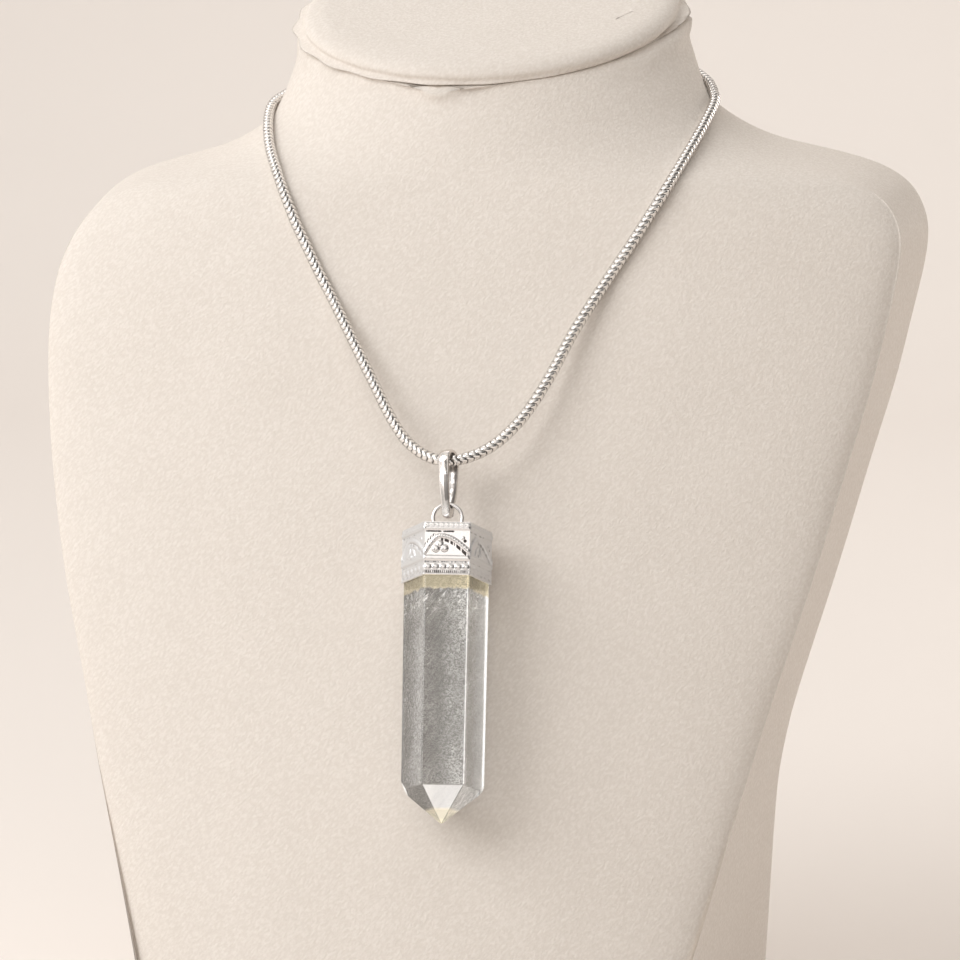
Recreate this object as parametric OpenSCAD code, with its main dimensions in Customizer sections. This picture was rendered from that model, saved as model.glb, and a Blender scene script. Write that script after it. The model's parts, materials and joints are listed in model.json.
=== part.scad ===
// Crystal point pendant on a snake chain, resting on a padded neck bust.
// Millimetres. The bust stands on z = 0, faces -Y, and +X is the viewer's right.

/* [Crystal] */
// Width of the crystal across its corners, just under the cap
crystal_w = 20; // [16:0.1:20.4]
// Width across its corners at the shoulder of the point
crystal_tip_w = 19.2; // [15:0.1:20]
// Length of the straight shaft that shows below the cap
shaft_len = 48.9; // [20:0.1:51]
// Length of the six-sided point
point_len = 7.8; // [4:0.1:12]

/* [Cap] */
// Width of the silver cap across its corners
cap_w = 21; // [21:0.1:22]
// Height of the cap
cap_h = 12.7; // [12.7:0.1:14]
// Thickness of the cap's sides
cap_wall = 0.62; // [0.6:0.01:0.65]
// Thickness of the cap's top plate
cap_top = 1.2; // [1:0.1:1.5]
// How far the cast relief stands out of the faces
relief = 0.3; // [0.15:0.05:0.3]

/* [Ring] */
// Outer diameter of the ring soldered on the cap
ring_od = 7.8; // [7.4:0.1:8]
// Thickness of the ring's wire
ring_wire = 1; // [0.8:0.05:1.05]

/* [Bail] */
// Width of the bail's band at the top
bail_w_top = 2.3; // [1.6:0.1:2.6]
// Width of the band at the bottom, inside the ring
bail_w_foot = 1.5; // [1.2:0.1:1.8]
// Thickness of the band at the top
bail_band = 0.9; // [0.7:0.05:1.3]
// Turn of the bail about the pendant's long axis
bail_turn = 26; // [0:1:28]

/* [Chain] */
// Diameter of the snake chain
chain_d = 2.6; // [2:0.1:2.6]
// Diameter of the plain clasp behind the neck
clasp_d = 3.6; // [3:0.1:3.8]

/* [Hang] */
// Lean of the pendant away from upright
hang_lean = 23.8; // [23:0.1:24]
// Sideways tilt of the pendant on the chest
hang_tilt = -2.8; // [-3:0.1:-2]
// Turn of the pendant about its long axis
hang_turn = 11.6; // [8:0.1:12]

/* [Bust] */
// Lean of the chest away from upright
chest_lean = 24; // [23.8:0.1:24.2]
// Thickness of the padded disc on the neck
pad_h = 5; // [3:0.5:7]

/* [Hidden] */

// Small gap left between pieces that touch on the real object
gap = 0.3;

// Bust sections from the foot up to the seam under the neck pad.
// Columns: height of the front, tilt, half width, sideways offset, bow of the
// front, depth of the front edge, straight side wall, depth of the back edge,
// flare of the back, roundness of the front edge, roundness of the back edge
BUST = [
    [  0,    0,    56.0,  1.0, 8,  8, 98,  8, 14.0, 4.5, 6.0],
    [ 32,    0,    65.5,  0.5, 8,  8, 66,  8,  9.5, 4.5, 6.0],
    [ 63,    0,    74.8, -0.5, 8,  8, 36,  8,  5.5, 4.5, 6.0],
    [ 79,    0,    79.6, -1.0, 8,  8, 25,  8,  4.0, 4.5, 6.0],
    [ 95,    0,    84.4, -1.0, 8,  8, 23,  8,  3.4, 4.5, 6.0],
    [120,    0,    92.2, -1.0, 8,  8, 23,  8,  3.2, 4.5, 6.0],
    [145,    0,    98.7, -0.5, 8,  8, 23,  8,  3.2, 4.5, 6.0],
    [164,    0,   103.0,  0.5, 8,  8, 23,  8,  3.4, 4.5, 6.0],
    [179,    1,   105.4,  1.5, 8,  8, 23,  8,  3.6, 4.5, 6.0],
    [191,    2,   106.2,  3.0, 8,  8, 23,  8,  4.0, 4.2, 5.0],
    [199,    3,   105.0,  4.5, 8,  8, 23,  8,  4.0, 4.0, 4.0],
    [205,    4.5, 101.7,  5.0, 8,  9, 22,  8,  4.0, 3.6, 4.0],
    [208.5,  6,    96.8,  5.0, 8, 10, 21,  9,  4.0, 3.2, 4.0],
    [211,    7.5,  89.5,  5.0, 7, 12, 19, 11,  4.0, 2.9, 3.5],
    [213,    9,    79.5,  5.0, 5, 16, 16, 14,  3.5, 2.6, 3.0],
    [215,   10.5,  70.0,  4.5, 3, 21, 11, 19,  2.5, 2.3, 2.6],
    [218,   13,    62.0,  4.0, 1, 27,  6, 24,  1.0, 2.1, 2.3],
    [222.5, 16.5,  56.0,  3.5, 0, 31,  1, 31,  0.0, 2.0, 2.0],
    [228.5, 21,    52.3,  3.0, 0, 34,  1, 34,  0.0, 2.0, 2.0],
    [236.5, 27,    48.8,  2.0, 0, 36,  1, 36,  0.0, 2.0, 2.0]
];
FRONT_Z = 0;
TILT = 1;
HALF_W = 2;
OFFSET_X = 3;
BOW = 4;
EDGE = 5;
WALL = 6;
BACK = 7;
FLARE = 8;
ROUND_FRONT = 9;
ROUND_BACK = 10;
// Y of the foot's front edge, and the sections drawn for each row of the table
foot_y = -52;
row_steps = 2;
front_steps = 11;
back_steps = 7;

// Neck pad sections. Columns: height over the seam as a share of the pad's
// thickness, and how far the outline is drawn in
PAD = [
    [0.06, 1.2],
    [0.22, 0.3],
    [0.45, 0.1],
    [0.68, 0.9],
    [0.86, 2.6],
    [0.96, 5.5],
    [1.00, 11.0]
];
pad_sides = 40;

// Route of the chain's centre, from the clasp over the viewer's right shoulder,
// through the bail and back over the left shoulder to the clasp
ROUTE = [
    [ 10.0, 113.5, 247.0],
    [ 21.0, 111.5, 246.0],
    [ 33.0, 107.5, 244.5],
    [ 43.5, 102.0, 242.0],
    [ 51.7,  95.7, 239.5],
    [ 57.4,  88.2, 236.6],
    [ 60.3,  81.5, 234.2],
    [ 61.2,  74.9, 231.7],
    [ 59.6,  63.4, 226.2],
    [ 56.6,  51.8, 219.2],
    [ 53.5,  43.2, 212.7],
    [ 49.5,  39.2, 205.6],
    [ 45.5,  35.9, 199.0],
    [ 41.0,  32.7, 192.0],
    [ 36.5,  28.5, 184.5],
    [ 32.5,  24.0, 177.5],
    [ 28.5,  18.5, 169.0],
    [ 23.5,  13.0, 160.5],
    [ 18.0,   8.3, 154.5],
    [ 12.5,   5.0, 151.3],
    [  6.4,   3.4, 150.0],
    [  0.8,   4.6, 151.0],
    [ -4.5,   7.5, 154.0],
    [ -9.0,  11.0, 159.0],
    [-12.5,  14.5, 164.0],
    [-16.3,  18.5, 169.5],
    [-20.3,  22.5, 175.5],
    [-24.0,  26.2, 181.0],
    [-28.0,  29.8, 187.0],
    [-31.6,  32.8, 192.5],
    [-35.2,  35.6, 198.5],
    [-38.5,  38.4, 204.0],
    [-42.0,  41.7, 210.6],
    [-45.6,  47.8, 216.7],
    [-49.7,  56.9, 222.4],
    [-52.6,  66.2, 227.9],
    [-54.2,  76.9, 232.4],
    [-52.3,  86.0, 235.2],
    [-47.2,  94.0, 238.5],
    [-39.0, 101.3, 242.0],
    [-28.0, 107.3, 244.5],
    [-16.0, 111.5, 246.0],
    [ -4.0, 113.5, 247.0]
];
chain_sides = 8;
route_steps = 2;
// Clasp length, and the way that the chain's tube keeps its flats turned
clasp_len = 13;
chest_out = [0, -cos(chest_lean), sin(chest_lean)];

// Where the chain carries the pendant, then heights along the pendant's axis,
// counted from the chain's centre at 0 down, and radii of the bail's two ends
hang_point = [6.4, 3.4, 150];
bail_top_in = 2.35;
bail_top_z = -0.5;
bail_foot_in = 1.35;
bail_foot_z = -10.3;
// The band's two legs meet in a solid tongue below the ring's wire
tongue_out = 1.9;
tongue_z = -12.3;
loop_steps = 18;
ring_z = -14;
cap_z = -17.3;
face_w = cap_w/2;
apothem = cap_w/2*cos(30);
tenon_w = crystal_w - 0.9;
tenon_step = 0.3;
tip_r = 0.02;
shaft_end = cap_z - cap_h - shaft_len;

// Bands of the cap's relief, measured down from the cap's top, how far a raised
// shape reaches into the wall that it stands on, and the width that the flat
// ones keep to on a face. A tooth's places are shares of its pitch
sink = 0.1;
relief_w = face_w - 0.3;
rail_1 = [1.5, 2.2];
rail_2 = [8.2, 9.2];
foot_rail = [12.4, 12.7];
bead_row_z = 10.8;
bead_r = 0.5;
beads_a_face = 6;
border_z = [0.3, 1.3];
border_teeth = 9;
border_foot = 0.35;
tooth = [0.15, 0.55, 0.85];
wave_low_z = 7.6;
wave_rise = 3.6;
wave_crest_x = -1.5;
wave_half_w = 0.45;
wave_steps = 12;
trefoil = [[-1.9, 5.8], [-2.6, 7.05], [-0.8, 6.95]];
trefoil_r = 0.55;

// A smooth curve through rows: the point at t between p1 and p2
function between(p0, p1, p2, p3, t) =
    p1 + 0.5*t*((p2 - p0) + t*((2*p0 - 5*p1 + 4*p2 - p3) + t*(3*p1 - p0 - 3*p2 + p3)));

// All the rows of a table, with steps sections drawn for each row
function smooth(rows, steps) = let(last = len(rows) - 1) [
    for (i = [0:last - 1], s = [0:steps - 1])
        between(rows[max(i - 1, 0)], rows[i], rows[i + 1], rows[min(i + 2, last)], s/steps),
    rows[last]
];

// Unit vector along v
function unit(v) = v/norm(v);

// Y of the chest's centre line at a height
function chest_y(z) = foot_y + z*tan(chest_lean);

// Right half of a bust section, from the middle of the front to the middle of
// the back: sideways distance and depth
function half_section(r) = [
    for (i = [0:front_steps])
        let(a = 90*i/front_steps, x = pow(sin(a), 2/r[ROUND_FRONT]))
        [r[HALF_W]*x, r[BOW]*x*x + r[EDGE]*(1 - pow(cos(a), 2/r[ROUND_FRONT]))],
    for (i = [back_steps:-1:0])
        let(a = 90*i/back_steps)
        [(r[HALF_W] + r[FLARE])*pow(sin(a), 2/r[ROUND_BACK]),
         r[BOW] + r[EDGE] + r[WALL] + r[BACK]*pow(cos(a), 2/r[ROUND_BACK])]
];

// A whole section as a closed ring of points, anticlockwise seen from above
function bust_ring(r) = let(h = half_section(r), n = len(h)) [
    for (i = [0:2*n - 3])
        let(p = i < n ? h[i] : [-h[2*n - 2 - i][0], h[2*n - 2 - i][1]])
        [p[0] + r[OFFSET_X],
         chest_y(r[FRONT_Z]) + p[1]*cos(r[TILT]),
         r[FRONT_Z] + p[1]*sin(r[TILT])]
];

// A closed skin over a stack of rings, each anticlockwise about the way up
module skin(rings) {
    n = len(rings[0]);
    top = len(rings) - 1;
    polyhedron(
        points = [for (ring = rings, p = ring) p],
        faces = [
            [for (i = [0:n - 1]) i],
            for (k = [0:top - 1], i = [0:n - 1])
                [k*n + i, (k + 1)*n + i, k*n + (i + 1)%n],
            for (k = [0:top - 1], i = [0:n - 1])
                [(k + 1)*n + i, (k + 1)*n + (i + 1)%n, k*n + (i + 1)%n],
            [for (i = [n - 1:-1:0]) top*n + i]
        ]
    );
}

// Moves its children from the pendant's own axis to where the pendant hangs
module hang() {
    translate(hang_point)
        rotate([-hang_lean, 0, 0])
            rotate([0, hang_tilt, 0])
                rotate([0, 0, hang_turn])
                    children();
}

// Outline round two circles on the upright axis and their common tangents, from
// the right-hand tangent over the top and back round the foot
function loop_points(top_r, top_z, foot_r, foot_z) =
    let(a = asin((foot_r - top_r)/(top_z - foot_z)))
    [
        for (i = [0:loop_steps])
            let(t = a + (180 - 2*a)*i/loop_steps)
            [top_r*cos(t), top_z + top_r*sin(t)],
        for (i = [0:loop_steps])
            let(t = 180 - a + (180 + 2*a)*i/loop_steps)
            [foot_r*cos(t), foot_z + foot_r*sin(t)]
    ];

// Repeats its children on the six faces of the cap. A child is drawn flat,
// X along the face and Y up, and stands on the face's surface
module on_each_face() {
    for (k = [0:5])
        rotate([0, 0, 60*k])
            translate([0, -apothem, cap_z])
                rotate([90, 0, 0])
                    children();
}

// A raised band round the cap between two depths below its top
module rail(band, out) {
    translate([0, 0, cap_z - band[1]])
        cylinder(d = cap_w + 2*out, h = band[1] - band[0], $fn = 6);
}

// Height of the wave's middle line at x along a face
function wave_z(x) =
    let(span = x < wave_crest_x ? wave_crest_x + face_w/2 : face_w/2 - wave_crest_x)
    wave_rise*cos(90*(x - wave_crest_x)/span) - wave_low_z;

// The rope wave of one face as a flat band
module wave_band() {
    xs = [for (i = [0:wave_steps]) relief_w*(i/wave_steps - 0.5)];
    polygon([
        for (x = xs) [x, wave_z(x) + wave_half_w],
        for (i = [wave_steps:-1:0]) [xs[i], wave_z(xs[i]) - wave_half_w]
    ]);
}

// The small toothed border of one face, under the cap's top edge
module border() {
    pitch = relief_w/border_teeth;
    polygon([
        [-relief_w/2, -border_z[1]],
        for (i = [0:border_teeth - 1]) each [
            [-relief_w/2 + pitch*(i + tooth[0]), -border_z[0]],
            [-relief_w/2 + pitch*(i + tooth[1]), -border_z[0]],
            [-relief_w/2 + pitch*(i + tooth[2]), border_foot - border_z[1]]
        ],
        [relief_w/2, -border_z[1]]
    ]);
}

// Leather-covered bust: chest, shoulders, neck and the wedge it stands on
module bust_body() {
    color("#e6dccd")
        skin([for (r = smooth(BUST, row_steps)) bust_ring(r)]);
}

// Padded disc that closes the neck, lying on the tilted seam
module neck_pad() {
    seam = BUST[len(BUST) - 1];
    half_d = (seam[EDGE] + seam[WALL] + seam[BACK])/2;
    color("#e9e0d3")
        translate([seam[OFFSET_X], chest_y(seam[FRONT_Z]), seam[FRONT_Z]])
            rotate([seam[TILT], 0, 0])
                translate([0, half_d, 0])
                    skin([for (row = PAD) [
                        for (i = [0:pad_sides - 1])
                            let(a = 360*i/pad_sides)
                            [(seam[HALF_W] - row[1])*cos(a), (half_d - row[1])*sin(a), row[0]*pad_h]
                    ]]);
}

// Snake chain from clasp end to clasp end, as a tube of its outer size
module chain() {
    path = smooth(ROUTE, route_steps);
    last = len(path) - 1;
    color("#c9cacb")
        skin([for (i = [0:last])
            let(
                along = unit(path[min(i + 1, last)] - path[max(i - 1, 0)]),
                side = unit(cross(along, chest_out)),
                out = cross(side, along)
            )
            [for (k = [0:chain_sides - 1])
                let(a = 360*k/chain_sides)
                path[i] + chain_d/2*(cos(a)*side - sin(a)*out)]
        ]);
}

// Plain closed clasp between the chain's two ends
module clasp() {
    color("#c9cacb")
        translate([(ROUTE[0][0] + ROUTE[len(ROUTE) - 1][0])/2, ROUTE[0][1], ROUTE[0][2]])
            rotate([0, 90, 0])
                cylinder(d = clasp_d, h = clasp_len, center = true, $fn = 48);
}

// Tapered closed bail that carries the ring on the chain
module bail() {
    taper_top = bail_top_z + bail_top_in + bail_band;
    taper_foot = tongue_z - tongue_out;
    color("#d4d5d6")
        hang() rotate([0, 0, -bail_turn]) intersection() {
            rotate([90, 0, 90])
                linear_extrude(bail_w_top, center = true)
                    difference() {
                        polygon(loop_points(bail_top_in + bail_band, bail_top_z, tongue_out, tongue_z));
                        polygon(loop_points(bail_top_in, bail_top_z, bail_foot_in, bail_foot_z));
                    }
            rotate([90, 0, 0])
                linear_extrude(4*(bail_top_in + bail_band), center = true)
                    polygon([
                        [-bail_w_top/2, taper_top], [-bail_w_foot/2, taper_foot],
                        [bail_w_foot/2, taper_foot], [bail_w_top/2, taper_top]
                    ]);
        }
}

// Silver cap: a hexagonal cup with cast relief and the ring soldered on top
module cap() {
    color("#d4d5d6")
        hang() {
            difference() {
                union() {
                    translate([0, 0, cap_z - cap_h])
                        cylinder(d = cap_w, h = cap_h, $fn = 6);
                    rail(rail_1, relief);
                    rail(rail_2, relief);
                    rail(foot_rail, relief/2);
                    on_each_face() {
                        translate([0, 0, -sink]) {
                            linear_extrude(relief + sink) wave_band();
                            linear_extrude(relief*0.7 + sink) border();
                        }
                        for (i = [0:beads_a_face - 1])
                            translate([face_w*((i + 0.5)/beads_a_face - 0.5), -bead_row_z, 0])
                                sphere(r = bead_r, $fn = 32);
                        for (p = trefoil)
                            translate([p[0], -p[1], 0])
                                sphere(r = trefoil_r, $fn = 32);
                    }
                }
                translate([0, 0, cap_z - cap_h - 1])
                    cylinder(r = (apothem - cap_wall)/cos(30), h = cap_h - cap_top + 1, $fn = 6);
            }
            translate([0, 0, ring_z])
                rotate([90, 0, 0])
                    rotate_extrude($fn = 96)
                        translate([(ring_od - ring_wire)/2, 0])
                            circle(d = ring_wire, $fn = 32);
        }
}

// Six-sided quartz point, with the part inside the cap a little slimmer
module crystal() {
    tops = [
        [shaft_end - point_len, tip_r],
        [shaft_end, crystal_tip_w/2],
        [cap_z - cap_h - tenon_step, crystal_w/2],
        [cap_z - cap_h, tenon_w/2],
        [cap_z - cap_top - gap, tenon_w/2]
    ];
    color("#dfe3e2")
        hang()
            skin([for (t = tops) [
                for (i = [0:5]) [t[1]*cos(60*i), t[1]*sin(60*i), t[0]]
            ]]);
}

bust_body();
neck_pad();
chain();
clasp();
bail();
cap();
crystal();
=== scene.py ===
import json
import math

import bmesh
import bpy
import numpy as np
from mathutils import Matrix, Vector
from mathutils.bvhtree import BVHTree


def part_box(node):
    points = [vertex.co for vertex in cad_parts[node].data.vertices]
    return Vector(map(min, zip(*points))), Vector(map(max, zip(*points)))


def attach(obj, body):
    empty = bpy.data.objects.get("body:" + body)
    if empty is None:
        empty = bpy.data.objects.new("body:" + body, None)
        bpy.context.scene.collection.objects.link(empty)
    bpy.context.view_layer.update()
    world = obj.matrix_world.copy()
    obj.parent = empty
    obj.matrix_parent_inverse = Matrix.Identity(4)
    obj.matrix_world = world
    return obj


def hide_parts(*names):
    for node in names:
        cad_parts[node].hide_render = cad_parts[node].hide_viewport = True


# %% [markdown]
# # A quartz point on a silver chain, hung on a neck bust
# The real object is four crafts in one: a covered bust, a snake chain, a cast
# silver cap with its bail, and a cut quartz point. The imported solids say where
# each piece is. This lesson dresses them, one piece at a time, and never moves
# them.

# %% Load the frame
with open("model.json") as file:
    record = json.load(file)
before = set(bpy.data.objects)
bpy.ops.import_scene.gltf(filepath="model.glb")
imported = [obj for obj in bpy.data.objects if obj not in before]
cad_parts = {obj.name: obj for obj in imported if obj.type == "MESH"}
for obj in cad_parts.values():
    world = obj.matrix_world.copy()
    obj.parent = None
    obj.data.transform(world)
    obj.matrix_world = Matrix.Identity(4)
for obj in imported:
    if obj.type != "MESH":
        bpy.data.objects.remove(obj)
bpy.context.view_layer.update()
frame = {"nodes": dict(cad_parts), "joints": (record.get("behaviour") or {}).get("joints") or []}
MM = 0.001
print("CAD nodes:", sorted(frame["nodes"]))

# %% [markdown]
# ## The camera
# The photographer stood a little to the right of the bust and a little above
# the pendant, far away with a long lens, so that the sides stay nearly
# parallel. A camera could be aimed with a Track To constraint, but building
# its axes from three angles keeps it exact, with the picture's small roll.

# %% Place the camera
camera_place = Vector((0.17054, -0.76680, 0.25599))
camera_azimuth = math.radians(11.5)
camera_down = math.radians(8.0)
camera_roll = math.radians(-1.0)
camera_lens = 126.28

bpy.context.scene.camera = camera = bpy.data.objects.new("camera", bpy.data.cameras.new("camera"))
camera.data.lens = camera_lens
camera.data.sensor_width = 36.0
camera.data.clip_start = 0.05
camera.matrix_world = (
    Matrix.Translation(camera_place)
    @ Matrix.Rotation(camera_azimuth, 4, "Z")
    @ Matrix.Rotation(math.pi / 2 - camera_down, 4, "X")
    @ Matrix.Rotation(camera_roll, 4, "Z")
)
bpy.context.scene.collection.objects.link(camera)
bpy.context.scene.view_settings.view_transform = "Standard"
print("camera at", [round(c, 3) for c in camera_place])

# %% [markdown]
# ## Helpers for meshes
# Most pieces here are made of rows of points, like the rings of a vase. One
# helper turns rows into faces, one turns lists into an object, and one does
# the three things that every finished piece needs: a body to ride on, the
# solid that it stands for, and the slot of its finish.


# %% Define the mesh helpers
def new_object(name, data):
    """An object with this data, linked to the scene."""
    thing = bpy.data.objects.new(name, data)
    bpy.context.scene.collection.objects.link(thing)
    return thing


def row_faces(rows, columns, closed=True, looped=False, first=0):
    """Faces between rows of points; closed joins the last column to the first, looped the last row."""
    faces = []
    for r in range(rows if looped else rows - 1):
        here, above = first + r * columns, first + (r + 1) % rows * columns
        for c in range(columns if closed else columns - 1):
            after = (c + 1) % columns
            faces.append((here + c, here + after, above + after, above + c))
    return faces


def new_piece(name, points, faces):
    """An object at the origin whose mesh has these points, in metres, with its faces turned outwards."""
    mesh = bpy.data.meshes.new(name)
    mesh.from_pydata([tuple(p) for p in points], [], faces)
    bm = bmesh.new()
    bm.from_mesh(mesh)
    bmesh.ops.recalc_face_normals(bm, faces=bm.faces)
    bm.to_mesh(mesh)
    bm.free()
    mesh.polygons.foreach_set("use_smooth", [True] * len(mesh.polygons))
    return new_object(name, mesh)


def bake_modifiers(piece):
    """Turns what the modifiers make into the piece's plain mesh, and takes them off."""
    graph = bpy.context.evaluated_depsgraph_get()
    graph.update()
    mesh = bpy.data.meshes.new_from_object(piece.evaluated_get(graph))
    piece.modifiers.clear()
    piece.data = mesh


def finish_piece(piece, body, node, material):
    """Gives a piece its body, the solid it stands for and its material."""
    piece.data.materials.clear()
    piece.data.materials.append(material)
    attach(piece, body)
    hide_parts(node)
    triangles = sum(len(p.vertices) - 2 for p in piece.data.polygons)
    print(f"{piece.name}: {triangles} triangles, on {body}")
    return piece


def add_values(piece, name, values):
    """Stores one number for each point of the mesh under a name that a material can read."""
    layer = piece.data.attributes.new(name, "FLOAT", "POINT")
    layer.data.foreach_set("value", np.asarray(values, dtype=np.float32))


def copy_of_solid(node, name):
    """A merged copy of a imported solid, as a new object; the solid itself stays as it is."""
    mesh = frame["nodes"][node].data.copy()
    mesh.name = name
    mesh.materials.clear()
    bm = bmesh.new()
    bm.from_mesh(mesh)
    bmesh.ops.remove_doubles(bm, verts=bm.verts, dist=0.02 * MM)
    bmesh.ops.join_triangles(
        bm, faces=bm.faces, angle_face_threshold=math.pi, angle_shape_threshold=math.pi
    )
    bm.to_mesh(mesh)
    bm.free()
    return new_object(name, mesh)


# %% [markdown]
# ## Helpers for node trees
# A material is a small graph. These helpers keep the lines that build it
# short: one adds a node and sets its values, one makes a group with named
# sockets, and one makes the usual Principled surface. Two short ones multiply
# and add, because most masks here are products and sums.


# %% Define the node helpers
def set_sockets(node, values):
    """Sets a node's inputs by name or number; a socket that is given is linked."""
    for key, value in values.items():
        if isinstance(value, bpy.types.NodeSocket):
            node.id_data.links.new(value, node.inputs[key])
        else:
            node.inputs[key].default_value = value


def add_node(tree, kind, values=None, **settings):
    """Adds a node and sets its properties and then its inputs."""
    node = tree.nodes.new(kind)
    for key, value in settings.items():
        setattr(node, key, value)
    set_sockets(node, values or {})
    return node


def new_group(name, inputs, outputs):
    """A shader node group with named inputs (name, kind, value) and outputs (name, kind)."""
    group = bpy.data.node_groups.new(name, "ShaderNodeTree")
    for label, kind, value in inputs:
        socket = group.interface.new_socket(label, in_out="INPUT", socket_type=kind)
        socket.default_value = value
    for label, kind in outputs:
        group.interface.new_socket(label, in_out="OUTPUT", socket_type=kind)
    return group, group.nodes.new("NodeGroupInput"), group.nodes.new("NodeGroupOutput")


def math_node(tree, operation, first, second, clamp=False):
    """The result of one step of arithmetic on sockets or numbers."""
    return add_node(
        tree, "ShaderNodeMath", {0: first, 1: second}, operation=operation, use_clamp=clamp
    ).outputs[0]


def range_node(tree, value, low, high, to_low=0.0, to_high=1.0):
    """Value taken from one range to another, smoothly, and held at the ends."""
    return add_node(
        tree, "ShaderNodeMapRange",
        {"Value": value, "From Min": low, "From Max": high, "To Min": to_low, "To Max": to_high},
        interpolation_type="SMOOTHSTEP",
    ).outputs["Result"]


def times(tree, first, second, clamp=False):
    """The product of two sockets or numbers."""
    return math_node(tree, "MULTIPLY", first, second, clamp)


def plus(tree, first, second, clamp=False):
    """The sum of two sockets or numbers."""
    return math_node(tree, "ADD", first, second, clamp)


def noise(tree, place, scale, detail, **more):
    """Noise around its middle value of a half."""
    return add_node(tree, "ShaderNodeTexNoise",
                    {"Vector": place, "Scale": scale, "Detail": detail, **more}).outputs["Fac"]


def turned_about_y(tree, place, angle):
    """Places turned about the Y axis."""
    return add_node(tree, "ShaderNodeVectorRotate", {"Vector": place, "Angle": angle},
                    rotation_type="Y_AXIS").outputs["Vector"]


def stretched(tree, place, factors):
    """Places multiplied by three factors, so that a pattern gets finer along an axis."""
    return add_node(tree, "ShaderNodeVectorMath", {0: place, 1: factors},
                    operation="MULTIPLY").outputs["Vector"]


def attribute(tree, name):
    """A value that the mesh stores for each point or face."""
    return add_node(tree, "ShaderNodeAttribute", attribute_name=name).outputs["Fac"]


def color_mix(tree, factor, first, second):
    """Mixes two colours, by the colour sockets of the Mix node."""
    return add_node(tree, "ShaderNodeMix", {0: factor, 6: first, 7: second}, data_type="RGBA").outputs[2]


def new_material(name):
    """An empty material with a Principled surface: the material, its tree and the surface node."""
    material = bpy.data.materials.new(name)
    material.use_nodes = True
    tree = material.node_tree
    tree.nodes.clear()
    surface = tree.nodes.new("ShaderNodeBsdfPrincipled")
    output = tree.nodes.new("ShaderNodeOutputMaterial")
    tree.links.new(surface.outputs["BSDF"], output.inputs["Surface"])
    return material, tree, surface


def bump_into(tree, surface, height, strength, distance):
    """Sends a height to the surface's normal through a Bump node."""
    bump = add_node(tree, "ShaderNodeBump", {"Strength": strength, "Distance": distance, "Height": height})
    set_sockets(surface, {"Normal": bump.outputs["Normal"]})


# %% [markdown]
# ## The leatherette
# The bust is covered with ivory leatherette, embossed with a fine pebble
# grain that runs slantwise. An image could carry the grain, but noise that is
# squeezed along one direction gives it without a seam. The cover's grain is
# used on the bust and on its neck pad, so it is a group.

# %% Build the leatherette
grain_slant = math.radians(-40.0)
grain_squeeze = (1.0, 0.8, 0.52)
patch_scale = 45.0
cell_share, crack_depth = 0.7, 0.15
ivory, ivory_shade = (0.82, 0.765, 0.71, 1.0), (0.71, 0.65, 0.59, 1.0)
pebble_height = 0.16 * MM


def build_grain_group():
    """Pebble grain: its height, and the broad patches in which its tone changes."""
    group, source, result = new_group(
        "slanted_grain",
        [("Coarseness", "NodeSocketFloat", 1500.0), ("Slant", "NodeSocketFloat", grain_slant)],
        [("Height", "NodeSocketFloat"), ("Patches", "NodeSocketFloat")],
    )
    place = group.nodes.new("ShaderNodeTexCoord").outputs["Object"]
    coarseness = source.outputs["Coarseness"]
    squeezed = stretched(group, turned_about_y(group, place, source.outputs["Slant"]), grain_squeeze)
    pebbles = noise(group, squeezed, coarseness, 2.5, Roughness=0.55)
    cells = add_node(group, "ShaderNodeTexVoronoi",
                     {"Vector": squeezed, "Scale": times(group, coarseness, cell_share)})
    cell_tops = range_node(group, cells.outputs["Distance"], 0.25, 0.65, crack_depth, 0.0)
    patches = noise(group, place, patch_scale, 1.0)
    set_sockets(result, {"Height": plus(group, pebbles, cell_tops), "Patches": patches})
    return group


grain_group = build_grain_group()


def build_leatherette(name, coarseness, strength):
    """Ivory leatherette, darker between the pebbles of its grain."""
    material, tree, surface = new_material(name)
    grain = add_node(tree, "ShaderNodeGroup", {"Coarseness": coarseness}, node_tree=grain_group)
    height = grain.outputs["Height"]
    speck = times(tree, range_node(tree, height, 0.35, 0.85), 0.7)
    tone = plus(tree, speck, times(tree, grain.outputs["Patches"], 0.3), clamp=True)
    set_sockets(surface, {
        "Base Color": color_mix(tree, tone, ivory_shade, ivory),
        "Roughness": range_node(tree, height, 0.3, 0.9, 0.62, 0.5),
        "Specular IOR Level": 0.35,
    })
    bump_into(tree, surface, height, strength, pebble_height)
    return material


leatherette = build_leatherette("ivory_leatherette", 1900.0, 0.7)
print("leatherette has", len(leatherette.node_tree.nodes), "nodes")

# %% [markdown]
# ## The bust and its neck pad
# The bust is one smooth form from foot to neck, and the pad is a disc with a
# soft rim that sits on the slanted neck. Both could be sculpted, but their
# solids already have the right sections, so a merged copy of each is rounded
# with Subdivision Surface. The foot's edge is creased, because the cover is
# folded under sharply there.

# %% Round the bust and the pad
cover_levels = 2
shrink_repairs = 2


def crease_rim(piece, low):
    """Keeps sharp the edges that lie at a height, such as a foot's rim."""
    mesh = piece.data
    layer = mesh.attributes.new("crease_edge", "FLOAT", "EDGE")
    for edge in mesh.edges:
        if all(abs(mesh.vertices[v].co.z - low) < 0.05 * MM for v in edge.vertices):
            layer.data[edge.index].value = 1.0


def points_of(mesh, count):
    """The places of the first points of a mesh, one row each."""
    places = np.empty(len(mesh.vertices) * 3, dtype=np.float32)
    mesh.vertices.foreach_get("co", places)
    return places.reshape(-1, 3)[:count]


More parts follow.
